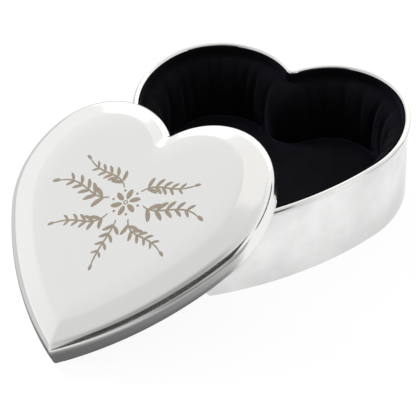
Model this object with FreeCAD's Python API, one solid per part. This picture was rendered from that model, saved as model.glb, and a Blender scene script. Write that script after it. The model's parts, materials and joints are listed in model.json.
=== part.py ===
import FreeCAD, Part
import math
import os

os.makedirs("parts", exist_ok=True)

# Heart-shaped trinket box of polished, silver-plated sheet with a velvet lining and a loose lid.
# Row frame: +Z up, origin on the floor under the middle of the box's heart outline, +Y towards the
# notch between the two lobes, -Y towards the point. All lengths are in millimetres, angles in degrees.
# The lid is drawn closed in its own frame (its seating edge at z = 0, same outline as the box) and is
# then set down where it lies open: its point on the floor in front, its hollow over the box's point.

V = FreeCAD.Vector

# Heart outline of the wall's outer face: each half is three tangent arcs.
LOBE_X = 19.02
LOBE_Y = 21.48
LOBE_R = 24.81
LOBE_END = 25.4
SHOULDER_R = 37.05
SHOULDER_END = -26.9
SIDE_R = 119.1
NOTCH_R = 1.0
TIP_R = 1.1

# Box shell.
BOX_H = 29.6
SHEET = 0.8
RIM_OUT = 0.75
RIM_IN = 1.3
RIM_DEEP = 2.0
FELT_T = 0.75
BASE_Z = 0.8
GAP = 0.05

# Lining of the box.
CARD_IN = 1.35
FLOOR_CARD_Z = 1.65
FLOOR_CARD_T = 1.0
PILE_T = 0.6
LINING_TOP = BOX_H - 0.35
BAND_FACE = 1.8
PAD_TOP = BOX_H - 3.8
PAD_FACE = 7.4
FLOOR_PAD_EDGE = 7.7
FLOOR_PAD_T = 3.6

# Lid.
LID_SKIRT = 3.8
CORNER_R = 4.0
CORNER_TURN = 71.0
LID_TOP = 9.05
SHOULDER_W = 7.0
LID_CREASE = 0.3
LID_DRIFT = 0.36
CROWN = 0.3
CROWN_EDGE = 15.0
FLANGE_OUT = 2.1
FLANGE_T = 0.7
FLANGE_DEEP = 3.0
LID_PAD_Z = 4.3
LID_PAD_EDGE = 3.4

# Where the open lid lies.
LID_CENTRE = V(-27.03, -51.24, 19.33)
LEAN_ANGLE = 24.2
LEAN_AXIS_HEADING = -33.86
LID_TWIST = -11.72


def polar(centre, radius, degrees):
    angle = math.radians(degrees)
    return V(centre.x + radius * math.cos(angle), centre.y + radius * math.sin(angle), centre.z)


def arc(centre, radius, start, end):
    middle = (start + end) / 2
    points = [polar(centre, radius, a) for a in (start, middle, end)]
    return Part.Arc(points[0], points[1], points[2]).toShape()


def heading(start, end):
    return math.degrees(math.atan2(end.y - start.y, end.x - start.x))


def notch_radius(inset, crease):
    """Rounding at the notch: parallel at crease 1, tighter below 1 until the shoulder ends."""
    return NOTCH_R + crease * min(inset, SHOULDER_W) + max(0, inset - SHOULDER_W)


def lobe_drift(inset, drift):
    """How far a bevel's lobes move towards the middle: the bevel is narrow at the notch, wide outside."""
    return drift * max(0, min(inset, SHOULDER_W) - SHEET)


def heart(inset, z, crease=1.0, drift=0.0):
    """Closed wire inset from the heart outline (a negative inset is outside it)."""
    notch_r = notch_radius(inset, crease)
    lobe = V(LOBE_X - lobe_drift(inset, drift), LOBE_Y, z)
    shoulder = polar(lobe, LOBE_R - SHOULDER_R, LOBE_END)
    side = polar(shoulder, SHOULDER_R - SIDE_R, SHOULDER_END)
    notch = V(0, LOBE_Y + math.sqrt((LOBE_R - inset + notch_r) ** 2 - lobe.x ** 2), z)
    tip_reach = SIDE_R - inset - TIP_R
    tip = V(0, side.y - math.sqrt(tip_reach ** 2 - side.x ** 2), z)
    notch_angle = heading(lobe, notch)
    tip_angle = heading(side, tip)
    half = [
        (lobe, LOBE_R - inset, notch_angle, LOBE_END),
        (shoulder, SHOULDER_R - inset, LOBE_END, SHOULDER_END),
        (side, SIDE_R - inset, SHOULDER_END, tip_angle),
    ]
    edges = [arc(c, r, a, b) for c, r, a, b in half]
    edges.append(arc(tip, TIP_R, tip_angle, -180 - tip_angle))
    for c, r, a, b in reversed(half):
        edges.append(arc(V(-c.x, c.y, z), r, -180 - b, -180 - a))
    edges.append(arc(notch, notch_r, notch_angle - 180, -notch_angle))
    return Part.Wire(edges)


def plug(profile, crease=1.0, drift=0.0):
    """Solid heart-shaped plug through (inset, height) pairs."""
    wires = [heart(inset, z, crease, drift) for inset, z in profile]
    return Part.makeLoft(wires, True, True)


def slab(inset, low, high):
    return plug([(inset, low), (inset, high)])


def ring(outside, inside, crease=1.0, drift=0.0):
    return plug(outside, crease, drift).cut(plug(inside, crease, drift))


def rounded_corner(radius, steps):
    """Rounding from the lid's upright skirt over to its sloping bevel, as (inset, height) pairs."""
    pairs = []
    for i in range(steps + 1):
        turn = math.radians(CORNER_TURN * i / steps)
        pairs.append((CORNER_R - radius * math.cos(turn), LID_SKIRT + radius * math.sin(turn)))
    return pairs


def make_side_wall():
    wall = ring([(0, 0), (0, BOX_H - 1)], [(SHEET, -1), (SHEET, BOX_H)])
    # The top of the sheet is rolled into a soft, slightly flattened rim.
    top, low = BOX_H, BOX_H - RIM_DEEP
    outer = [(0, low), (-0.45, low + 0.25), (-RIM_OUT, low + 0.8), (-RIM_OUT, top - 0.75),
             (-0.55, top - 0.3), (-0.1, top)]
    inner = [(RIM_IN, low - 1), (RIM_IN, top - 0.6), (1.05, top - 0.2), (0.7, top), (0.7, top + 1)]
    rim = ring(outer, inner)
    return wall.fuse(rim).removeSplitter()


def pad_face(depth):
    """Inset of the wall padding's face at a share of its height, 0 at its foot and 1 at its top."""
    return BAND_FACE + (PAD_FACE - BAND_FACE) * math.sqrt(max(0.0, 1 - depth ** 4))


def pad_profile(less, low):
    high = PAD_TOP
    shares = [0.0, 0.3, 0.5, 0.65, 0.78, 0.88, 0.95, 0.99, 1.0]
    return [(pad_face(s) - less, low + (high - low) * s) for s in shares]


def make_wall_velvet():
    foot = FLOOR_CARD_Z + FLOOR_CARD_T + GAP
    face = pad_profile(0, foot)
    back = pad_profile(PILE_T, foot)
    back = [(max(inset, CARD_IN), z) for inset, z in back]
    face = [(PAD_FACE, foot - 1)] + face + [(BAND_FACE, LINING_TOP + 1)]
    back = back + [(CARD_IN, LINING_TOP)]
    return ring(back, face)


def make_wall_wadding():
    foot = FLOOR_CARD_Z + FLOOR_CARD_T + GAP
    face = pad_profile(PILE_T + 2 * GAP, foot)
    face = [(face[0][0], foot - 1)] + face + [(face[-1][0], PAD_TOP + 1)]
    return ring([(CARD_IN, foot), (CARD_IN, PAD_TOP - 0.15)], face)


def make_floor_velvet():
    low = FLOOR_CARD_Z + FLOOR_CARD_T + GAP
    high = low + FLOOR_PAD_T
    cover = plug([(FLOOR_PAD_EDGE, low), (FLOOR_PAD_EDGE, high - 1.2), (FLOOR_PAD_EDGE + 0.4, high - 0.5),
                  (FLOOR_PAD_EDGE + 1.2, high)])
    return cover.cut(slab(FLOOR_PAD_EDGE + PILE_T, low - 1, high - 1.3))


def make_lid_shell():
    steps = 6
    outer = [(0, 0)] + rounded_corner(CORNER_R, steps)
    outer += [(SHOULDER_W, LID_TOP), (CROWN_EDGE, LID_TOP + CROWN)]
    inner = [(SHEET, -1)] + rounded_corner(CORNER_R - SHEET, steps)
    inner += [(SHOULDER_W + 0.15, LID_TOP - SHEET), (CROWN_EDGE, LID_TOP + CROWN - SHEET)]
    return ring(outer, inner, LID_CREASE, LID_DRIFT)


def make_lid_flange():
    inside = FLANGE_OUT + FLANGE_T
    seat = SHEET + GAP
    outer = [(FLANGE_OUT, -FLANGE_DEEP), (FLANGE_OUT, 0.2), (seat, 1.3), (seat, LID_SKIRT - 0.4)]
    inner = [(inside, -FLANGE_DEEP - 1), (inside, 0.0), (seat + FLANGE_T, 1.1), (seat + FLANGE_T, LID_SKIRT)]
    return ring(outer, inner)


def make_lid_velvet():
    cup = plug([(LID_PAD_EDGE + 0.8, LID_PAD_Z), (LID_PAD_EDGE, LID_PAD_Z + 0.8), (LID_PAD_EDGE, LID_PAD_Z + 1.7)])
    return cup.cut(slab(LID_PAD_EDGE + 0.8 + GAP, LID_PAD_Z + PILE_T, LID_PAD_Z + 3))


def lay_lid(shape):
    twist = FreeCAD.Rotation(V(0, 0, 1), LID_TWIST)
    lean_axis = polar(V(0, 0, 0), 1.0, LEAN_AXIS_HEADING)
    lean = FreeCAD.Rotation(lean_axis, LEAN_ANGLE)
    placed = shape.copy()
    placed.Placement = FreeCAD.Placement(LID_CENTRE, lean.multiply(twist))
    return placed


def export(name, shape):
    shape.exportStep("parts/" + name + ".step")


inner_sheet = SHEET + GAP
floor_top = FLOOR_CARD_Z + FLOOR_CARD_T

box_parts = {
    "side_wall": make_side_wall(),
    "base_plate": slab(inner_sheet, BASE_Z, BASE_Z + SHEET),
    "base_felt": slab(inner_sheet, 0, FELT_T),
    "wall_card": ring([(inner_sheet, FLOOR_CARD_Z), (inner_sheet, BOX_H - RIM_DEEP - GAP)],
                      [(CARD_IN - GAP, FLOOR_CARD_Z - 1), (CARD_IN - GAP, BOX_H)]),
    "wall_wadding": make_wall_wadding(),
    "wall_velvet": make_wall_velvet(),
    "floor_card": slab(CARD_IN, FLOOR_CARD_Z, floor_top),
    "floor_foam": slab(FLOOR_PAD_EDGE + PILE_T + GAP, floor_top + GAP, floor_top + FLOOR_PAD_T - 1.3),
    "floor_velvet": make_floor_velvet(),
}

lid_parts = {
    "lid_shell": make_lid_shell(),
    "lid_flange": make_lid_flange(),
    "lid_card": slab(5.2, LID_PAD_Z + 1.75, LID_PAD_Z + 2.55),
    "lid_foam": slab(LID_PAD_EDGE + 0.8 + 2 * GAP, LID_PAD_Z + PILE_T + GAP, LID_PAD_Z + 1.7),
    "lid_velvet": make_lid_velvet(),
}

for name, shape in box_parts.items():
    export(name, shape)
for name, shape in lid_parts.items():
    export(name, lay_lid(shape))
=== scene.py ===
"""Heart-shaped trinket box of polished, silver-plated sheet, lined with black velvet.

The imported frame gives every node's place. This file adds the smooth sheet metal, the
padded lining, the engraved sprays on the lid, the finishes and the studio.
"""

import json
import math
import random

import bmesh
import bpy
import numpy as np
from mathutils import Matrix, Vector

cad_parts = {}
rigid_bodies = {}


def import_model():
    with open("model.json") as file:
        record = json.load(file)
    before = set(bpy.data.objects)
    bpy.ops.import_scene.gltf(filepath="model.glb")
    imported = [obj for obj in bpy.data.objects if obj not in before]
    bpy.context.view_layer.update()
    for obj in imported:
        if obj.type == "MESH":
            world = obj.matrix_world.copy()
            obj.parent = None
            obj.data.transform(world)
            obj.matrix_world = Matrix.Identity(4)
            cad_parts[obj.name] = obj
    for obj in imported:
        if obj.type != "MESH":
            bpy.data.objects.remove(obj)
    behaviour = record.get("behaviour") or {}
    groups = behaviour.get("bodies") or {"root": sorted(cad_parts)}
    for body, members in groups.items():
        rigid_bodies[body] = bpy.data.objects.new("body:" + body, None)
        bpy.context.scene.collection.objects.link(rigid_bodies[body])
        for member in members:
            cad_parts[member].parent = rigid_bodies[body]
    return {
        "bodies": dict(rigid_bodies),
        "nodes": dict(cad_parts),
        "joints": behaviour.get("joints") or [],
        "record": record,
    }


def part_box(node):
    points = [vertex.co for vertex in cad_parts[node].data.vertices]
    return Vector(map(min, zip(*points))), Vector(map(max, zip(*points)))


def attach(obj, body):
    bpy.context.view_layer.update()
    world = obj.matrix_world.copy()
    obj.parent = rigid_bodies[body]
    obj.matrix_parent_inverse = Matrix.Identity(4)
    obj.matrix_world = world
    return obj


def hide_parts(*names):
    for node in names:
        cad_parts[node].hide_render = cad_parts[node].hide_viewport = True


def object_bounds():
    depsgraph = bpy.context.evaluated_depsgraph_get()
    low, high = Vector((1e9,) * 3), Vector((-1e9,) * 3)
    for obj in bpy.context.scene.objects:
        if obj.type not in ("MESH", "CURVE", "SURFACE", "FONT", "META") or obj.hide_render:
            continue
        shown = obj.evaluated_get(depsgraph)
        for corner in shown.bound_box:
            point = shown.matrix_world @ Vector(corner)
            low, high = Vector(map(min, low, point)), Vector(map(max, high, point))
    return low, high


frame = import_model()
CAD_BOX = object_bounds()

bl_info = {
    "name": "Heart Trinket Box",
    "version": (1, 0, 0),
    "blender": (4, 5, 0),
    "location": "View3D > Sidebar > Trinket Box",
    "description": "Builds a velvet-lined heart-shaped trinket box around its packed frame",
    "category": "Object",
}

MM = 0.001

# The heart outline, as the sheet-metal pattern gives it, in millimetres and degrees.
LOBE = (19.02, 21.48)
LOBE_R = 24.81
LOBE_END = 25.4
SHOULDER_R = 37.05
SHOULDER_END = -26.9
SIDE_R = 119.1
NOTCH_R = 1.0
TIP_R = 1.1

# Heights and insets shared with the pattern, in millimetres.
WALL_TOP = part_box("side_wall")[1].z / MM
SHEET = 0.8
RIM_OUT = 0.75
RIM_IN = 1.3
FLOOR_Z = 2.7
BAND_FACE = 1.8
BAND_DEEP = 3.8
ROLL_FACE = 7.4
LID_SKIRT = 3.8
CORNER_R = 4.0
CORNER_TURN = 71.0
LID_TOP = 9.05
LID_CROWN = 0.3
LID_CREASE = 0.3
LID_DRIFT = 0.36
SHOULDER_W = 7.0
CROWN_EDGE = 15.0

# How the open lid leans on the box.
LID_PLACE = (
    Matrix.Translation(Vector((-27.03, -51.24, 19.33)) * MM)
    @ Matrix.Rotation(math.radians(24.2), 4, Vector((math.cos(math.radians(-33.86)), math.sin(math.radians(-33.86)), 0)))
    @ Matrix.Rotation(math.radians(-11.72), 4, "Z")
)


# ---------------------------------------------------------------- shader tools


class Wire:
    """One socket of a finish, with arithmetic that adds Math nodes."""

    def __init__(self, finish, socket):
        self.finish = finish
        self.socket = socket

    def _maths(self, operation, first, second):
        return self.finish.node("ShaderNodeMath", {"operation": operation}, {0: first, 1: second})

    def __add__(self, other):
        return self._maths("ADD", self, other)

    def __radd__(self, other):
        return self._maths("ADD", other, self)

    def __sub__(self, other):
        return self._maths("SUBTRACT", self, other)

    def __rsub__(self, other):
        return self._maths("SUBTRACT", other, self)

    def __mul__(self, other):
        return self._maths("MULTIPLY", self, other)

    def __rmul__(self, other):
        return self._maths("MULTIPLY", other, self)

    def __truediv__(self, other):
        return self._maths("DIVIDE", self, other)

    def __pow__(self, other):
        return self._maths("POWER", self, other)


class Finish:
    """A material under construction: one principled shader and the nodes that feed it."""

    def __init__(self, name, **constants):
        self.material = bpy.data.materials.new(name)
        self.material.use_nodes = True
        self.tree = self.material.node_tree
        self.shader = self.tree.nodes["Principled BSDF"]
        for socket, value in constants.items():
            self.shader.inputs[socket.replace("_", " ")].default_value = value

    def node(self, kind, settings=None, inputs=None, output=0):
        made = self.tree.nodes.new(kind)
        for name, value in (settings or {}).items():
            if name == "stops":
                self._stops(made.color_ramp, value)
            else:
                setattr(made, name, value)
        for name, value in (inputs or {}).items():
            if isinstance(value, Wire):
                self.tree.links.new(value.socket, made.inputs[name])
            else:
                made.inputs[name].default_value = value
        return Wire(self, made.outputs[output])

    @staticmethod
    def _stops(ramp, stops):
        while len(ramp.elements) < len(stops):
            ramp.elements.new(0.5)
        for element, (position, value) in zip(ramp.elements, stops):
            element.position = position
            element.color = value if hasattr(value, "__len__") else (value, value, value, 1)

    def place(self):
        return self.node("ShaderNodeTexCoord", output="Object")

    def noise(self, scale, detail=3, rough=0.5, where=None):
        return self.node(
            "ShaderNodeTexNoise",
            {"noise_dimensions": "3D"},
            {"Vector": where or self.place(), "Scale": scale, "Detail": detail, "Roughness": rough},
        )

    def ramp(self, wire, stops):
        return self.node("ShaderNodeValToRGB", {"stops": stops}, {"Fac": wire})

    def blend(self, share, first, second):
        return self.node(
            "ShaderNodeMix",
            {"data_type": "RGBA"},
            {"Factor": share, 6: first, 7: second},
            output=2,
        )

    def stretch(self, scale):
        return self.node("ShaderNodeMapping", {}, {"Vector": self.place(), "Scale": scale})

    def feed(self, **sockets):
        for name, wire in sockets.items():
            self.tree.links.new(wire.socket, self.shader.inputs[name.replace("_", " ")])
        return self

    def bump(self, height, strength, distance, under=None):
        inputs = {"Height": height, "Strength": strength, "Distance": distance}
        if under is not None:
            inputs["Normal"] = under
        return self.node("ShaderNodeBump", {}, inputs)


def rgba(colour):
    return (colour[0], colour[1], colour[2], 1.0)


def polished_plate(name, tint, reflection_depth, rough):
    """Mirror-polished plate with wipe marks, a sheet that isn't dead flat and cloud patches in its colour that are a
    painted reflection.
    """
    finish = Finish(name, Metallic=1.0, IOR=1.45)
    # Painted reflection: cloud patches darken the plate's colour here and there, standing in for a cloudy surround seen
    # in the plate.
    reflection_clouds = finish.noise(55, 3, 0.55)
    fine = finish.noise(900, 4, 0.6)
    share = finish.ramp(reflection_clouds, [(0.36, 0.0), (0.68, 1.0)])
    reflection_dark = rgba([c * (1 - reflection_depth) for c in tint])
    wipes = finish.noise(60, 4, 0.7, finish.stretch((1.0, 14.0, 3.0)))
    finish.feed(Base_Color=finish.blend(share, reflection_dark, rgba(tint)))
    finish.feed(Roughness=rough + wipes * 0.035 + fine * 0.02)
    swell = finish.bump(finish.noise(38, 1, 0.4), 0.25, 0.00012)
    grain = finish.bump(fine, 0.06, 0.00002, under=swell)
    return finish.feed(Normal=grain).material


def engraved_line(name, tint):
    """The matt, tan ground that the engraver's tool leaves in the plate."""
    finish = Finish(name, Metallic=0.25, Specular_IOR_Level=0.3)
    ground = finish.noise(5200, 3, 0.6)
    tone = finish.noise(420, 2, 0.5)
    dark = rgba([c * 0.72 for c in tint])
    light = rgba([min(1, c * 1.18) for c in tint])
    finish.feed(Base_Color=finish.blend(ground * 0.6 + tone * 0.4, dark, light))
    finish.feed(Roughness=0.5 + ground * 0.25)
    return finish.feed(Normal=finish.bump(ground, 0.4, 0.00003)).material


def velvet(name, tint, sheen_tint):
    """Short pile that swallows light and shows brushed patches and a faint edge sheen."""
    finish = Finish(
        name,
        Specular_IOR_Level=0.08,
        Sheen_Weight=0.6,
        Sheen_Roughness=0.32,
        Sheen_Tint=rgba(sheen_tint),
    )
    brushed = finish.noise(120, 3, 0.55, finish.stretch((1.0, 1.0, 0.45)))
    pile = finish.noise(4200, 2, 0.6)
    patch = finish.ramp(brushed, [(0.38, 0.0), (0.7, 1.0)])
    finish.feed(Base_Color=finish.blend(patch * 0.7 + pile * 0.3, rgba([c * 0.55 for c in tint]), rgba(tint)))
    finish.feed(Roughness=0.86 + pile * 0.12)
    nap = finish.bump(pile, 0.5, 0.00012)
    return finish.feed(Normal=finish.bump(brushed, 0.25, 0.0003, under=nap)).material


def felt(name, tint):
    """Pressed fibres, without a weave."""
    finish = Finish(name, Specular_IOR_Level=0.1, Sheen_Weight=0.2, Sheen_Roughness=0.5)
    fibres = finish.noise(1500, 6, 0.75)
    tufts = finish.noise(260, 3, 0.6)
    finish.feed(Base_Color=finish.blend(fibres * 0.6 + tufts * 0.4, rgba([c * 0.4 for c in tint]), rgba(tint)))
    finish.feed(Roughness=0.9 + fibres * 0.08)
    return finish.feed(Normal=finish.bump(fibres, 0.7, 0.0002)).material


def card(name, tint):
    """Grey-brown lining card with flecks and a slight tooth."""
    finish = Finish(name, Specular_IOR_Level=0.2)
    flecks = finish.noise(1100, 4, 0.65, finish.stretch((1.0, 3.0, 3.0)))
    tooth = finish.noise(2600, 2, 0.5)
    share = finish.ramp(flecks, [(0.35, 0.0), (0.62, 1.0)])
    finish.feed(Base_Color=finish.blend(share, rgba([c * 0.7 for c in tint]), rgba(tint)))
    finish.feed(Roughness=0.78 + tooth * 0.15)
    return finish.feed(Normal=finish.bump(tooth, 0.3, 0.00006)).material


def wadding(name, tint):
    """Loose white filling fibres."""
    finish = Finish(name, Specular_IOR_Level=0.1, Sheen_Weight=0.4)
    fibres = finish.noise(700, 7, 0.8, finish.stretch((1.0, 2.5, 1.4)))
    finish.feed(Base_Color=finish.blend(fibres, rgba([c * 0.75 for c in tint]), rgba(tint)))
    finish.feed(Roughness=0.85 + fibres * 0.12)
    return finish.feed(Normal=finish.bump(fibres, 0.8, 0.0005)).material


# ------------------------------------------------------------------ mesh tools


def along(centre, radius, start, end, steps, ends=False):
    """Points of an arc from start to end in degrees, without the last unless ends is set."""
    turns = np.radians(np.linspace(start, end, steps + 1))
    points = np.c_[centre[0] + radius * np.cos(turns), centre[1] + radius * np.sin(turns)]
    return points if ends else points[:-1]


def outward(centre, radius, degrees):
    turn = math.radians(degrees)
    return centre[0] + radius * math.cos(turn), centre[1] + radius * math.sin(turn)


def heading(start, end):
    return math.degrees(math.atan2(end[1] - start[1], end[0] - start[0]))


def notch_radius(inset, crease):
    """Rounding at the notch: parallel at crease 1, tighter below 1 until the shoulder ends."""
    return NOTCH_R + crease * min(inset, SHOULDER_W) + max(0, inset - SHOULDER_W)


def heart_loop(inset, crease=1.0, drift=0.0, steps=(10, 60, 30, 50, 9)):
    """Closed loop inset from the heart outline, from the notch round by the right.

    Drift moves a bevel's lobes towards the middle, so it is narrow at the notch and wide outside.
    """
    notch_r = notch_radius(inset, crease)
    lobe = (LOBE[0] - drift * max(0, min(inset, SHOULDER_W) - SHEET), LOBE[1])
    shoulder = outward(lobe, LOBE_R - SHOULDER_R, LOBE_END)
    side = outward(shoulder, SHOULDER_R - SIDE_R, SHOULDER_END)
    notch = (0.0, lobe[1] + math.sqrt((LOBE_R - inset + notch_r) ** 2 - lobe[0] ** 2))
    tip_r = TIP_R
    reach = SIDE_R - inset - tip_r
    tip = (0.0, side[1] - math.sqrt(reach ** 2 - side[0] ** 2))
    at_notch, at_tip = heading(lobe, notch), heading(side, tip)
    right = np.vstack([
        along(notch, notch_r, -90, at_notch - 180, steps[0]),
        along(lobe, LOBE_R - inset, at_notch, LOBE_END, steps[1]),
        along(shoulder, SHOULDER_R - inset, LOBE_END, SHOULDER_END, steps[2]),
        along(side, SIDE_R - inset, SHOULDER_END, at_tip, steps[3]),
        along(tip, tip_r, at_tip, -90, steps[4], ends=True),
    ])
    left = right[1:-1][::-1] * [-1, 1]
    return np.vstack([right, left])


OUTLINE = heart_loop(0)
NORMALS = (heart_loop(0.01) - OUTLINE) / 0.01
STEP_LENGTHS = np.linalg.norm(np.roll(OUTLINE, -1, 0) - OUTLINE, axis=1)
ARC_LENGTH = np.r_[0, np.cumsum(STEP_LENGTHS)[:-1]]
GIRTH = float(STEP_LENGTHS.sum())


def finish_mesh(name, points, faces, material, place=None):
    """Makes an object from points in millimetres, with outward normals and smooth shading."""
    mesh = bpy.data.meshes.new(name)
    mesh.from_pydata([tuple(p) for p in np.asarray(points) * MM], [], faces)
    if place is not None:
        mesh.transform(place)
    work = bmesh.new()
    work.from_mesh(mesh)
    bmesh.ops.recalc_face_normals(work, faces=work.faces)
    work.to_mesh(mesh)
    work.free()
    mesh.shade_smooth()
    mesh.materials.append(material)
    piece = bpy.data.objects.new(name, mesh)
    bpy.context.scene.collection.objects.link(piece)
    return piece


def loft(rings, closed):
    """Points and faces of a skin over rings of equal count; open skins get a cap at each end."""
    count = len(rings[0])
    points = np.vstack(rings)
    faces = []
    total = len(rings)
    for r in range(total if closed else total - 1):
        low, high = r * count, ((r + 1) % total) * count
        for i in range(count):
            j = (i + 1) % count
            faces.append((low + i, low + j, high + j, high + i))
    if not closed:
        faces.append(tuple(range(count))[::-1])
        faces.append(tuple(range((total - 1) * count, total * count)))
    return points, faces


def level_ring(inset, z, crease=1.0, drift=0.0):
    loop = heart_loop(inset, crease, drift)
    return np.c_[loop, np.full(len(loop), z)]


def heart_skin(name, profile, material, closed, place=None, crease=1.0, drift=0.0):
    """A heart-shaped piece of sheet from its cross-section of (inset, height) pairs."""
    points, faces = loft([level_ring(inset, z, crease, drift) for inset, z in profile], closed)
    return finish_mesh(name, points, faces, material, place)


def bow(centre, wide, high, start, end, steps):
    """Part of an ellipse in a cross-section; 0 degrees points to smaller insets, 90 up."""
    pairs = []
    for i in range(steps + 1):
        turn = math.radians(start + (end - start) * i / steps)
        pairs.append((centre[0] - wide * math.cos(turn), centre[1] + high * math.sin(turn)))
    return pairs


CLOTH_SCALE = 10
CLOTH_FRAMES = 20


def own_mesh(piece):
    """Makes a piece's modifiers part of its mesh."""
    graph = bpy.context.evaluated_depsgraph_get()
    made = bpy.data.meshes.new_from_object(piece.evaluated_get(graph))
    piece.modifiers.clear()
    piece.data = made


def corners(mesh):
    flat = np.empty(len(mesh.vertices) * 3)
    mesh.vertices.foreach_get("co", flat)
    return flat.reshape(-1, 3)


def swell(piece, held, cap, pressure, voxel=None):
    """Lets a velvet cover swell under slight pressure, with its held points pinned.

    The cloth runs at ten times the piece's size, where it is steady. Held is a list for the
    mesh's own points, or a test of points in millimetres when a voxel size remakes the mesh.
    """
    scene = bpy.context.scene
    piece.data.transform(Matrix.Scale(CLOTH_SCALE, 4))
    if voxel:
        even = piece.modifiers.new("even_mesh", "REMESH")
        even.mode = "VOXEL"
        even.voxel_size = voxel * MM * CLOTH_SCALE
        even.use_smooth_shade = True
        own_mesh(piece)
        held = held(corners(piece.data) / CLOTH_SCALE / MM)
    start = corners(piece.data)
    pins = piece.vertex_groups.new(name="held")
    pins.add([int(i) for i in np.flatnonzero(held)], 1.0, "REPLACE")
    cloth = piece.modifiers.new("cover", "CLOTH")
    cloth.settings.vertex_group_mass = pins.name
    cloth.settings.use_pressure = True
    cloth.settings.uniform_pressure_force = pressure
    cloth.settings.effector_weights.gravity = 0
    cloth.point_cache.frame_start = 1
    cloth.point_cache.frame_end = CLOTH_FRAMES
    for frame in range(1, CLOTH_FRAMES + 1):
        scene.frame_set(frame)
    graph = bpy.context.evaluated_depsgraph_get()
    move = corners(piece.evaluated_get(graph).data) - start
    piece.modifiers.clear()
    piece.vertex_groups.clear()
    scene.frame_set(1)
    size = np.linalg.norm(move, axis=1)[:, None]
    move *= np.minimum(1, cap * MM * CLOTH_SCALE / np.maximum(size, 1e-9))
    piece.data.vertices.foreach_set("co", (start + np.nan_to_num(move)).ravel())
    finer = piece.modifiers.new("finer", "SUBSURF")
    finer.levels = finer.render_levels = 1
    own_mesh(piece)
    piece.data.transform(Matrix.Scale(1 / CLOTH_SCALE, 4))
    piece.data.shade_smooth()


def settle(piece, body, slot, *replaced):
    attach(piece, body)
    if replaced:
        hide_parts(*replaced)
    return piece


def dress(node, material):
    """Puts a finish on a CAD node that keeps its own shape."""
    piece = frame["nodes"][node]
    piece.data.materials.clear()
    piece.data.materials.append(material)
    return piece


def material_of(name, maker, *values):
    return bpy.data.materials.get(name) or maker(name, *values)


def plate():
    look = bpy.context.scene.trinket_finish
    return material_of("polished_plate", polished_plate, look.plate, look.plate_painted_reflection, look.plate_roughness)


def wall_plate():
    look = bpy.context.scene.trinket_finish
    return material_of("wall_plate", polished_plate, look.plate, look.wall_painted_reflection, look.plate_roughness)


def black_velvet():
    look = bpy.context.scene.trinket_finish
    return material_of("black_velvet", velvet, look.velvet, look.velvet_sheen)


# ------------------------------------------------------------------- settings


def length(name, description, default, **more):
    return bpy.props.FloatProperty(
        name=name, description=description, default=default * MM, subtype="DISTANCE", unit="LENGTH", precision=5, **more
    )


def colour(name, description, default):
    return bpy.props.FloatVectorProperty(
        name=name, description=description, default=default, size=3, min=0, max=1, subtype="COLOR"
    )


class TrinketLining(bpy.types.PropertyGroup):
    """Sizes of the padded lining."""

    pleat_every: length("Pleat spacing", "Mean distance between pleats round a lobe", 7.0)
    pleat_width: length("Pleat width", "Half-width of the furrow at a pleat", 1.5)
    puff: length("Puff", "How far the velvet stands out between pleats", 1.4)
    pad_crown: length("Pad crown", "How far the floor pad swells in its middle", 1.6)
    seed: bpy.props.IntProperty(name="Pleat seed", description="Picks the spacing of the pleats", default=5)


class TrinketOrnament(bpy.types.PropertyGroup):
    """Sizes of the engraved sprays."""

    stroke: length("Stroke width", "Width of an engraved stem", 0.62)
    proud: length("Burr height", "How far a line's ground stands above the plate", 0.02)


class TrinketFinish(bpy.types.PropertyGroup):
    """Colours of the finishes."""

    plate: colour("Plate", "Reflection colour of the silver plate", (0.87, 0.87, 0.865))
    # Depth of the cloud patches painted into the wall plate's colour, a painted reflection.
    wall_painted_reflection: bpy.props.FloatProperty(name="Wall clouding", description="Depth of the wall's clouding", default=0.16, min=0, max=1, subtype="FACTOR")
    # Depth of the cloud patches painted into the other plate's colour, a painted reflection.
    plate_painted_reflection: bpy.props.FloatProperty(name="Clouding", description="Depth of the plate's clouding", default=0.05, min=0, max=1, subtype="FACTOR")
    plate_roughness: bpy.props.FloatProperty(name="Plate roughness", description="Least roughness of the plate", default=0.035, min=0, max=1, subtype="FACTOR")
    engraving: colour("Engraving", "Ground of the engraved lines", (0.29, 0.245, 0.19))
    velvet: colour("Velvet", "Pile of the lining", (0.0045, 0.0045, 0.0065))
    velvet_sheen: colour("Velvet sheen", "Light on the tips of the pile", (0.06, 0.06, 0.10))
    felt: colour("Felt", "Felt under the base", (0.02, 0.02, 0.022))
    card: colour("Card", "Card behind the lining", (0.52, 0.46, 0.36))
    wadding: colour("Wadding", "Filling of the pads", (0.82, 0.82, 0.8))


class TrinketStudio(bpy.types.PropertyGroup):
    """Strengths of the studio's light."""

    surround: bpy.props.FloatProperty(name="Surround", description="Brightness of the white surround", default=1.0, min=0)
    floor_white: bpy.props.FloatProperty(name="Floor white", description="Share of the floor's own glow", default=0.93, min=0, max=1, subtype="FACTOR")
    lens: bpy.props.FloatProperty(name="Lens", description="Focal length on a 36 mm film", default=268.84, min=1)


# ---------------------------------------------------------------- box pieces


class TRINKET_OT_side_wall(bpy.types.Operator):
    """Makes the upright heart-shaped wall with its rolled rim"""

    bl_idname = "trinket.side_wall"
    bl_label = "Side Wall"

    def execute(self, context):
        top = WALL_TOP
        roll = ((RIM_IN - RIM_OUT) / 2, top - 1.0)
        half_width = (RIM_IN + RIM_OUT) / 2
        profile = [(0.22, 0.0), (0.06, 0.06), (0.0, 0.22), (0.0, 0.6), (0.0, 9.0), (0.0, 18.0), (0.0, top - 2.6)]
        profile += bow(roll, half_width, 1.0, -74, 252, 26)
        profile += [(SHEET, top - 2.4), (SHEET, top - 3.0), (SHEET, 12.0), (SHEET, 0.2), (0.6, 0.0)]
        piece = heart_skin("box_wall", profile, wall_plate(), closed=True)
        settle(piece, "box", "polished_plate", "side_wall")
        return {"FINISHED"}


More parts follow.
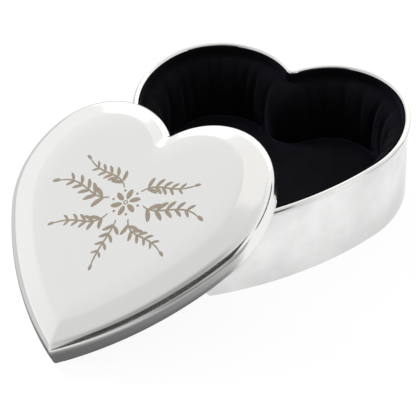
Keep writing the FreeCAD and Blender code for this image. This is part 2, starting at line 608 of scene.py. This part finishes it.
class TRINKET_OT_base(bpy.types.Operator):
    """Finishes the base plate, its felt and the hidden card and filling"""

    bl_idname = "trinket.base"
    bl_label = "Base and Filling"

    def execute(self, context):
        look = context.scene.trinket_finish
        stiff = material_of("lining_card", card, look.card)
        soft = material_of("white_wadding", wadding, look.wadding)
        dress("base_plate", plate())
        dress("base_felt", material_of("black_felt", felt, look.felt))
        for node in ("wall_card", "floor_card", "lid_card"):
            dress(node, stiff)
        for node in ("wall_wadding", "floor_foam", "lid_foam"):
            dress(node, soft)
        return {"FINISHED"}


def pleat_places(lining):
    """Arc lengths of the pleats: close round the lobes, sparse along the straight sides."""
    draw = random.Random(lining.seed)
    spacing = lining.pleat_every / MM
    places, here = [], 3.0
    while here < GIRTH - 3.0:
        places.append(here)
        share = min(here, GIRTH - here) / (GIRTH / 2)
        slack = 1.0 if share < 0.5 else 2.2
        here += spacing * slack * draw.uniform(0.65, 1.4)
    return places, [draw.uniform(0.55, 1.0) for _ in places], [draw.uniform(-2.0, 2.0) for _ in places]


class TRINKET_OT_wall_lining(bpy.types.Operator):
    """Makes the padded, puckered velvet round the inside of the wall"""

    bl_idname = "trinket.wall_lining"
    bl_label = "Wall Lining"

    def execute(self, context):
        lining = context.scene.trinket_lining
        places, depths, slants = pleat_places(lining)
        top, roll_top = WALL_TOP - 0.35, WALL_TOP - BAND_DEEP
        height = roll_top - FLOOR_Z
        furrow, puff = lining.pleat_width / MM, lining.puff / MM
        rings = [level_ring(RIM_IN + 0.07, FLOOR_Z), level_ring(RIM_IN + 0.07, roll_top), level_ring(RIM_IN + 0.07, top)]
        rings += [level_ring(BAND_FACE - 0.12, top), level_ring(BAND_FACE, top - 0.12)]
        rings += [level_ring(BAND_FACE, z) for z in np.linspace(top - 0.6, roll_top + 0.15, 5)]
        held = [np.ones(len(OUTLINE), bool) for _ in rings]
        shares = [1.0, 0.997, 0.985, 0.965, 0.935, 0.89, 0.84, 0.78, 0.7, 0.6, 0.5, 0.38, 0.25, 0.12, 0.0]
        for share in shares:
            z = FLOOR_Z + height * share
            base = BAND_FACE + (ROLL_FACE - BAND_FACE) * math.sqrt(max(0.0, 1 - share ** 4))
            fullness = math.sin(math.pi * min(1.0, 0.12 + 0.88 * (1 - share)) ** 0.8) if share < 1 else 0.0
            stand = np.ones(len(OUTLINE))
            for place, depth, slant in zip(places, depths, slants):
                gap = np.abs(ARC_LENGTH - place - slant * (1 - share))
                gap = np.minimum(gap, GIRTH - gap)
                stand -= depth * np.exp(-((gap / furrow) ** 2))
            held.append((stand < 0.3) | (share > 0.98) | (share == 0))
            stand = np.clip(stand, -0.15, 1.0) * puff * max(0.0, fullness)
            loop = np.array([heart_point(i, base + s) for i, s in enumerate(stand)])
            rings.append(np.c_[loop, np.full(len(loop), z)])
        points, faces = loft(rings, True)
        piece = finish_mesh("wall_lining", points, faces, black_velvet())
        swell(piece, np.concatenate(held), cap=0.9, pressure=4.0)
        settle(piece, "box", "velvet", "wall_velvet")
        return {"FINISHED"}


INSET_LOOPS = [heart_loop(d) for d in np.arange(0, 12.01, 0.5)]


def heart_point(index, inset):
    """The point of the outline's loop at index, inset by any distance up to 12 mm."""
    step = min(inset / 0.5, len(INSET_LOOPS) - 1.001)
    low = int(step)
    share = step - low
    return INSET_LOOPS[low][index] * (1 - share) + INSET_LOOPS[low + 1][index] * share


def crowned_pad(name, edge, low, high, crown, material, place=None, sign=1):
    """A heart pad that is flat on its card, rolls over its edge and swells towards its middle."""
    profile = [(edge + 1.0, low), (edge + 0.2, low + 0.15 * sign), (edge, low + 0.6 * sign)]
    thick = abs(high - low)
    profile += [(i, low + sign * abs(z - low)) for i, z in bow((edge + 1.6, low + thick * 0.45), 1.6, thick * 0.4, 0, 75, 6)]
    start = profile[-1]
    for k in range(1, 9):
        share = k / 8
        inset = start[0] + (15.0 - start[0]) * share
        profile.append((inset, start[1] + sign * (thick * 0.15 + crown) * math.sin(share * math.pi / 2)))
    piece = heart_skin(name, profile, material, False)
    swell(piece, lambda points: np.abs(points[:, 2] - low) < 0.6, cap=0.7, pressure=4.0, voxel=0.9)
    if place is not None:
        piece.data.transform(place)
    return piece


class TRINKET_OT_floor_pad(bpy.types.Operator):
    """Makes the velvet pad on the box's floor"""

    bl_idname = "trinket.floor_pad"
    bl_label = "Floor Pad"

    def execute(self, context):
        low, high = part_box("floor_velvet")
        crown = context.scene.trinket_lining.pad_crown / MM
        piece = crowned_pad("floor_pad", 7.0, low.z / MM, high.z / MM - 0.5, crown, black_velvet())
        settle(piece, "box", "velvet", "floor_velvet", "floor_foam")
        return {"FINISHED"}


# ---------------------------------------------------------------- lid pieces


class TRINKET_OT_lid_shell(bpy.types.Operator):
    """Makes the pressed lid with its skirt, soft shoulder and low crown"""

    bl_idname = "trinket.lid_shell"
    bl_label = "Lid Shell"

    def execute(self, context):
        corner = (CORNER_R, LID_SKIRT)
        start = bow(corner, CORNER_R, CORNER_R, 0, CORNER_TURN, 1)[-1]
        bevel = [(start[0] + (SHOULDER_W - start[0]) * share, start[1] + (LID_TOP - start[1]) * share)
                 for share in (0.15, 0.35, 0.55, 0.72)]
        turn_in = curve_points([bevel[-1], (SHOULDER_W, LID_TOP), (SHOULDER_W, LID_TOP), (8.4, LID_TOP + 0.07)], 10)
        bevel += [tuple(p) for p in turn_in[1:-1]]
        crown = [(SHOULDER_W + (CROWN_EDGE - SHOULDER_W) * share, LID_TOP + LID_CROWN * math.sin(share * math.pi / 2))
                 for share in (0.3, 0.5, 0.75, 1.0)]
        inner = [(inset, z - SHEET) for inset, z in reversed(crown)]
        inner += [(SHOULDER_W + 0.15, LID_TOP - SHEET)]
        inner += bow(corner, CORNER_R - SHEET, CORNER_R - SHEET, CORNER_TURN, 0, 12)
        inner += [(SHEET, 3.0), (SHEET, 0.12), (SHEET - 0.15, 0.0)]
        outer = [(0.2, 0.0), (0.05, 0.05), (0.0, 0.2), (0.0, 2.0), (0.0, LID_SKIRT - 0.1)]
        outer += bow(corner, CORNER_R, CORNER_R, 0, CORNER_TURN, 22) + bevel + crown
        piece = heart_skin("lid_cover", inner + outer, plate(), False, LID_PLACE, LID_CREASE, LID_DRIFT)
        settle(piece, "lid", "polished_plate", "lid_shell")
        return {"FINISHED"}


class TRINKET_OT_lid_flange(bpy.types.Operator):
    """Makes the band inside the lid that drops into the box's mouth"""

    bl_idname = "trinket.lid_flange"
    bl_label = "Lid Flange"

    def execute(self, context):
        profile = [(2.1, -2.9), (2.1, -1.2), (2.1, 0.1), (1.9, 0.42), (0.98, 1.15), (0.86, 1.5), (0.86, 3.4)]
        profile += [(1.54, 3.4), (1.54, 1.5), (1.7, 1.2), (2.62, 0.4), (2.8, 0.0), (2.8, -2.9), (2.66, -3.0), (2.24, -3.0)]
        piece = heart_skin("lid_band", profile, plate(), True, LID_PLACE)
        settle(piece, "lid", "polished_plate", "lid_flange")
        return {"FINISHED"}


class TRINKET_OT_lid_pad(bpy.types.Operator):
    """Makes the velvet pad inside the lid"""

    bl_idname = "trinket.lid_pad"
    bl_label = "Lid Pad"

    def execute(self, context):
        piece = crowned_pad("lid_pad", 3.0, 6.0, 4.5, 0.25, black_velvet(), LID_PLACE, -1)
        settle(piece, "lid", "velvet", "lid_velvet", "lid_foam")
        return {"FINISHED"}


# ------------------------------------------------------------------ ornament


# Marks that cross lie at different levels, so that no two of their faces share a plane.
LEVELS = 12
LEVEL_STRIDE = 7
LEVEL_STEP = 0.2


def curve_points(controls, steps):
    """Points of one cubic through four controls."""
    a, b, c, d = (np.array(p, float) for p in controls)
    t = np.linspace(0, 1, steps + 1)[:, None]
    return (1 - t) ** 3 * a + 3 * (1 - t) ** 2 * t * b + 3 * (1 - t) * t ** 2 * c + t ** 3 * d


def lid_height(point):
    """Height of the lid's outer face over a point of its plan."""
    down = (LID_PLACE.to_3x3() @ Vector((0, 0, -1))).normalized()
    above = LID_PLACE @ (Vector((point[0], point[1], LID_TOP + 5)) * MM)
    hit = bpy.data.objects["lid_cover"].ray_cast(above, down)
    return (LID_PLACE.inverted() @ hit[1]).z / MM


def ribbon(line, width, taper, level):
    """A thin closed strip along a line of plan points, narrowing to its ends, at one of the LEVELS."""
    count = len(line)
    run = np.gradient(line, axis=0)
    across = np.c_[-run[:, 1], run[:, 0]] / np.linalg.norm(run, axis=1)[:, None]
    share = np.linspace(0, 1, count)
    half = width / 2 * (1 - taper + taper * np.sin(np.pi * share) ** 0.6)
    proud = bpy.context.scene.trinket_ornament.proud / MM * (1 + level * LEVEL_STEP)
    rings = []
    for side, drop in ((1, 0), (-1, 0), (-1, 1), (1, 1)):
        plan = line + across * (side * half)[:, None]
        z = np.array([lid_height(p) for p in plan]) + (proud if not drop else -0.2)
        rings.append(np.c_[plan, z])
    points = np.stack(rings, 1).reshape(-1, 3)
    faces = []
    for i in range(count - 1):
        for k in range(4):
            n = (k + 1) % 4
            faces.append((4 * i + k, 4 * i + n, 4 * i + 4 + n, 4 * i + 4 + k))
    faces += [(0, 1, 2, 3), (4 * count - 1, 4 * count - 2, 4 * count - 3, 4 * count - 4)]
    return points, faces


def turned(line, degrees, at):
    turn = math.radians(degrees)
    spin = np.array([[math.cos(turn), math.sin(turn)], [-math.sin(turn), math.cos(turn)]])
    return np.asarray(line) @ spin + np.array(at)


def leaf(size, slim, at, degrees):
    """A solid pointed leaf that grows from at: its bent midrib, its width and how far it tapers."""
    midrib = curve_points([(0, 0), (size * 0.35, size * 0.06), (size * 0.7, size * 0.06), (size, -size * 0.04)], 9)
    return turned(midrib, degrees, at), size * slim, 0.97


def vine(controls, pairs, size):
    """A curved stem with leaves in pairs that get smaller towards its end."""
    stroke = bpy.context.scene.trinket_ornament.stroke / MM
    stem = curve_points(controls, 30)
    marks = [(stem, stroke, 0.35)]
    for k in range(pairs):
        place = 3 + int((len(stem) - 6) * k / pairs)
        run = stem[place + 1] - stem[place - 1]
        ahead = math.degrees(math.atan2(run[1], run[0]))
        shrink = 1 - 0.45 * k / pairs
        for side in (1, -1):
            marks.append(leaf(size * shrink, 0.31, stem[place + (1 if side > 0 else 0)], ahead + side * 46))
    run = stem[-1] - stem[-3]
    marks.append(leaf(size * 0.6, 0.42, stem[-1], math.degrees(math.atan2(run[1], run[0]))))
    return marks


def ring_line(centre, radius, steps=18):
    turns = np.linspace(0, 2 * math.pi, steps + 1)
    return np.c_[centre[0] + radius * np.cos(turns), centre[1] + radius * np.sin(turns)]


def mirrored(marks):
    return marks + [(line * [-1, 1], width, taper) for line, width, taper in marks]


def sprays():
    """Marks of the engraved ornament: an open flower with leafy sprays round it."""
    centre = (0.0, 9.0)
    marks = [leaf(3.9, 0.46, outward(centre, 1.15, 30 + 60 * k), 30 + 60 * k) for k in range(6)]
    marks += [(ring_line(outward(centre, 4.6, 60 * k), 0.2, 8), 0.5, 0.0) for k in range(6)]
    marks.append((ring_line(centre, 0.62), 0.42, 0.0))
    right = vine([(6.4, 9.4), (12.0, 6.2), (18.5, 14.4), (25.8, 10.8)], 5, 5.2)
    right += vine([(3.2, 14.0), (7.5, 19.5), (12.5, 15.5), (19.5, 20.4)], 5, 4.3)
    right += vine([(3.9, 3.6), (7.0, -3.4), (13.0, 0.8), (19.8, -4.2)], 5, 4.3)
    marks += mirrored(right)
    marks += vine([(0.0, 2.2), (0.9, -3.0), (-0.9, -8.5), (0.0, -14.5)], 4, 4.2)
    return marks


class TRINKET_OT_ornament(bpy.types.Operator):
    """Engraves the leafy sprays in the lid's top"""

    bl_idname = "trinket.ornament"
    bl_label = "Engraved Sprays"

    def execute(self, context):
        points, faces, start = [], [], 0
        for index, (line, width, taper) in enumerate(sprays()):
            p, f = ribbon(np.asarray(line), width, taper, index * LEVEL_STRIDE % LEVELS)
            points.append(p)
            faces += [tuple(start + i for i in face) for face in f]
            start += len(p)
        look = context.scene.trinket_finish
        ground = material_of("engraved_line", engraved_line, look.engraving)
        piece = finish_mesh("lid_sprays", np.vstack(points), faces, ground, LID_PLACE)
        piece.data.shade_flat()
        settle(piece, "lid", "polished_plate")
        return {"FINISHED"}


# -------------------------------------------------------------------- studio

# Where the grey ceiling is darkest, and how it fades with the cosine of the angle from there.
CEILING_AT = (-0.02, -0.62, 0.784)
CEILING_SHADES = [(0.25, 1.0), (0.48, 0.89), (0.66, 0.82), (0.86, 0.76), (0.925, 0.7), (0.96, 0.55), (0.985, 0.4)]

# Bands of the dark card, and how deep the painted floor shadow, which only the plate sees, is left and right of the
# lid, in front, far to the left and by the box.
DARK_BANDS = [
    (0.0, 0.012), (0.46, 0.02), (0.5, 0.13), (0.53, 0.035), (0.575, 0.05), (0.59, (0.85, 0.77, 0.6, 1)), (0.605, 0.05),
    (0.7, 0.22),
]
FLOOR_SHADOW_LEFT = 0.62
FLOOR_SHADOW_RIGHT = 0.85
FLOOR_SHADOW_FRONT = 0.74
FLOOR_SHADOW_FAR_LEFT = 0.3
FLOOR_SHADOW_BOX = 0.15


def glow(name, colour_value, strength):
    """A studio card's even light."""
    finish = Finish(name, Roughness=1.0, Specular_IOR_Level=0.0)
    finish.shader.inputs["Base Color"].default_value = (0, 0, 0, 1)
    finish.shader.inputs["Emission Color"].default_value = rgba(colour_value)
    finish.shader.inputs["Emission Strength"].default_value = strength
    return finish.material


def streaked(name):
    """A dark card with a few paler and cream bands along it."""
    finish = Finish(name, Roughness=1.0, Specular_IOR_Level=0.0)
    finish.shader.inputs["Base Color"].default_value = (0, 0, 0, 1)
    finish.shader.inputs["Emission Strength"].default_value = 1.0
    bands = finish.noise(2.2, 3, 0.6, finish.stretch((0.4, 4.0, 1.0)))
    finish.feed(Emission_Color=finish.ramp(bands, DARK_BANDS))
    return finish.material


def hide_from_camera(piece):
    """Keeps a studio card to the reflections in the plate."""
    piece.visible_camera = False
    piece.visible_shadow = False
    piece.visible_diffuse = False


def card_piece(name, centre, aim, wide, high, material):
    """A flat studio card that faces a point and that the camera doesn't see."""
    mesh = bpy.data.meshes.new(name)
    x, y = wide / 2, high / 2
    mesh.from_pydata([(-x, -y, 0), (x, -y, 0), (x, y, 0), (-x, y, 0)], [], [(0, 1, 2, 3)])
    mesh.materials.append(material)
    piece = bpy.data.objects.new(name, mesh)
    bpy.context.scene.collection.objects.link(piece)
    facing = (Vector(aim) - Vector(centre)).to_track_quat("Z", "Y")
    piece.matrix_world = Matrix.Translation(centre) @ facing.to_matrix().to_4x4()
    hide_from_camera(piece)


def direction(azimuth, elevation, distance):
    """A point seen from the origin: azimuth from +Y towards +X, in degrees."""
    a, e = math.radians(azimuth), math.radians(elevation)
    return Vector((math.sin(a) * math.cos(e), math.cos(a) * math.cos(e), math.sin(e))) * distance


class TRINKET_OT_studio(bpy.types.Operator):
    """Sets up the pale floor, the soft light, the cards and the camera"""

    bl_idname = "trinket.studio"
    bl_label = "Studio"

    def execute(self, context):
        scene = context.scene
        studio = scene.trinket_studio
        scene.view_settings.view_transform = "Standard"
        scene.world = self.surround(studio)
        self.floor(studio)
        self.mat()
        middle = CAD_BOX[0] + (CAD_BOX[1] - CAD_BOX[0]) / 2
        bright = glow("bright_card", (1.0, 0.985, 0.95), 1.35)
        dark = streaked("dark_card")
        card_piece("dark_card_front", direction(148, 23, 1.5), middle, 2.1, 1.3, dark)
        card_piece("dark_card_right", direction(66, 9, 1.6), middle, 1.2, 0.3, dark)
        card_piece("bright_card_back", direction(-5, 24, 1.9), middle, 2.6, 1.5, bright)
        card_piece("cream_card_top", direction(-5, 70, 1.6), middle, 0.9, 0.9, glow("cream_card", (1.0, 0.98, 0.95), 1.0))
        card_piece("grey_card_left", direction(-82, 4, 1.8), middle, 2.6, 0.42, glow("grey_card", (1, 1, 1), 0.66))
        self.fold_light()
        self.camera(scene, studio)
        return {"FINISHED"}

    @staticmethod
    def fold_light():
        """A soft lamp from the left that models the folds of the velvet and stays out of the plate."""
        data = bpy.data.lights.new("fold_light", "AREA")
        data.size = 0.3
        data.energy = 9.0
        lamp = bpy.data.objects.new("fold_light", data)
        bpy.context.scene.collection.objects.link(lamp)
        place = direction(-75, 42, 1.0)
        lamp.matrix_world = Matrix.Translation(place) @ (-place).to_track_quat("-Z", "Y").to_matrix().to_4x4()
        lamp.visible_glossy = False

    @staticmethod
    def surround(studio):
        """White all round, with a soft grey ceiling over the front."""
        world = bpy.data.worlds.new("studio_surround")
        world.use_nodes = True
        tree = world.node_tree
        facing = tree.nodes.new("ShaderNodeVectorMath")
        facing.operation = "DOT_PRODUCT"
        facing.inputs[1].default_value = CEILING_AT
        tree.links.new(tree.nodes.new("ShaderNodeTexCoord").outputs["Generated"], facing.inputs[0])
        shade = tree.nodes.new("ShaderNodeValToRGB")
        shade.color_ramp.interpolation = "EASE"
        Finish._stops(shade.color_ramp, CEILING_SHADES)
        tree.links.new(facing.outputs["Value"], shade.inputs["Fac"])
        back = tree.nodes["Background"]
        tree.links.new(shade.outputs["Color"], back.inputs["Color"])
        back.inputs["Strength"].default_value = studio.surround
        return world

    @staticmethod
    def mat():
        """A sheet of painted shadow on the floor that only polished plate sees: darker close to the pieces."""
        near = np.arange(0, 150, 4.0)
        ticks = np.r_[near, 160 * 1.25 ** np.arange(9)]
        ticks = np.r_[-ticks[:0:-1], ticks]
        grid = np.stack(np.meshgrid(ticks, ticks), -1).reshape(-1, 2)
        lid_edge = np.array([LID_PLACE @ (Vector((x, y, 0)) * MM) for x, y in OUTLINE])[:, :2] / MM
        to_lid = np.array([np.linalg.norm(lid_edge - p, axis=1).min() for p in grid])
        to_box = np.array([np.linalg.norm(OUTLINE - p, axis=1).min() for p in grid])
        side = np.clip((grid - lid_edge.mean(0)) @ [0.76, -0.65] / 30 + 0.4, 0, 1)
        depth = FLOOR_SHADOW_LEFT + (FLOOR_SHADOW_RIGHT - FLOOR_SHADOW_LEFT) * side
        fade = 28 + 8 * side
        front = np.clip((-46 - grid[:, 1]) / 12, 0, 1)
        depth *= 1 - side * (1 - front)
        # Painted shadow: deepest by the lid's edge and by the box, with painted shade to the far left and in streaks in
        # front.
        level = np.minimum(1 - depth * np.exp(-((to_lid / fade) ** 2)), 1 - FLOOR_SHADOW_BOX * np.exp(-((to_box / 12) ** 2)))
        level = np.minimum(level, 1 - FLOOR_SHADOW_FAR_LEFT * np.clip((-grid[:, 0] - 30) / 30, 0, 1))
        shadow_streaks = 0.5 + 0.5 * np.sin(grid[:, 0] / 17 + 1.7 * np.sin(grid[:, 1] / 23))
        level = np.minimum(level, 1 - (FLOOR_SHADOW_FRONT - 0.3 * shadow_streaks) * front * np.clip((grid[:, 0] + 10) / 30, 0, 1))
        count = len(ticks)
        faces = [(i * count + k, i * count + k + 1, (i + 1) * count + k + 1, (i + 1) * count + k)
                 for i in range(count - 1) for k in range(count - 1)]
        mesh = bpy.data.meshes.new("painted_shadow_sheet")
        mesh.from_pydata([(x * MM, y * MM, -0.0001) for x, y in grid], [], faces)
        shade = mesh.color_attributes.new("shade", "FLOAT_COLOR", "POINT")
        shade.data.foreach_set("color", np.c_[level, level, level, np.ones(len(level))].ravel())
        finish = Finish("painted_shadow_sheet", Roughness=1.0, Specular_IOR_Level=0.0)
        finish.shader.inputs["Base Color"].default_value = (0, 0, 0, 1)
        finish.shader.inputs["Emission Strength"].default_value = 1.0
        finish.feed(Emission_Color=finish.node("ShaderNodeVertexColor", {"layer_name": "shade"}))
        mesh.materials.append(finish.material)
        piece = bpy.data.objects.new("painted_shadow_sheet", mesh)
        bpy.context.scene.collection.objects.link(piece)
        hide_from_camera(piece)

    @staticmethod
    def floor(studio):
        work = bmesh.new()
        bmesh.ops.create_grid(work, x_segments=8, y_segments=8, size=6.0)
        mesh = bpy.data.meshes.new("studio_floor")
        work.to_mesh(mesh)
        work.free()
        floor = bpy.data.objects.new("studio_floor", mesh)
        floor.location.z = -0.0002
        bpy.context.scene.collection.objects.link(floor)
        finish = Finish("pale_floor", Roughness=0.9, Specular_IOR_Level=0.1)
        mottle = finish.noise(3.0, 2, 0.5)
        finish.feed(Base_Color=finish.blend(mottle, (0.07, 0.07, 0.07, 1), (0.09, 0.09, 0.09, 1)))
        finish.shader.inputs["Emission Color"].default_value = (1, 1, 1, 1)
        finish.shader.inputs["Emission Strength"].default_value = studio.floor_white
        mesh.materials.append(finish.material)

    @staticmethod
    def camera(scene, studio):
        data = bpy.data.cameras.new("studio_camera")
        data.lens = studio.lens
        data.sensor_width = 36.0
        data.clip_end = 50.0
        camera = bpy.data.objects.new("studio_camera", data)
        scene.collection.objects.link(camera)
        place = Vector((0.23942, -0.74636, 0.65228))
        ahead = Vector((-0.24913, 0.72713, -0.63970))
        camera.matrix_world = Matrix.Translation(place) @ ahead.to_track_quat("-Z", "Y").to_matrix().to_4x4()
        scene.camera = camera


# --------------------------------------------------------------------- panel

BUILD_ORDER = (
    TRINKET_OT_studio,
    TRINKET_OT_side_wall,
    TRINKET_OT_base,
    TRINKET_OT_wall_lining,
    TRINKET_OT_floor_pad,
    TRINKET_OT_lid_shell,
    TRINKET_OT_lid_flange,
    TRINKET_OT_lid_pad,
    TRINKET_OT_ornament,
)
SETTINGS = {
    "trinket_lining": TrinketLining,
    "trinket_ornament": TrinketOrnament,
    "trinket_finish": TrinketFinish,
    "trinket_studio": TrinketStudio,
}


class TRINKET_PT_panel(bpy.types.Panel):
    """Lists the box's pieces and their settings"""

    bl_idname = "TRINKET_PT_panel"
    bl_label = "Heart Trinket Box"
    bl_space_type = "VIEW_3D"
    bl_region_type = "UI"
    bl_category = "Trinket Box"

    def draw(self, context):
        layout = self.layout
        for operator in BUILD_ORDER:
            layout.operator(operator.bl_idname)
        for name, group in SETTINGS.items():
            layout.separator()
            for setting in group.__annotations__:
                layout.prop(getattr(context.scene, name), setting)


CLASSES = (*SETTINGS.values(), *BUILD_ORDER, TRINKET_PT_panel)


def register():
    for made in CLASSES:
        bpy.utils.register_class(made)
    for name, group in SETTINGS.items():
        setattr(bpy.types.Scene, name, bpy.props.PointerProperty(type=group))


def unregister():
    for name in SETTINGS:
        delattr(bpy.types.Scene, name)
    for made in reversed(CLASSES):
        bpy.utils.unregister_class(made)


def main():
    register()
    for operator in BUILD_ORDER:
        group, name = operator.bl_idname.split(".")
        getattr(getattr(bpy.ops, group), name)()


if __name__ == "__main__":
    main()
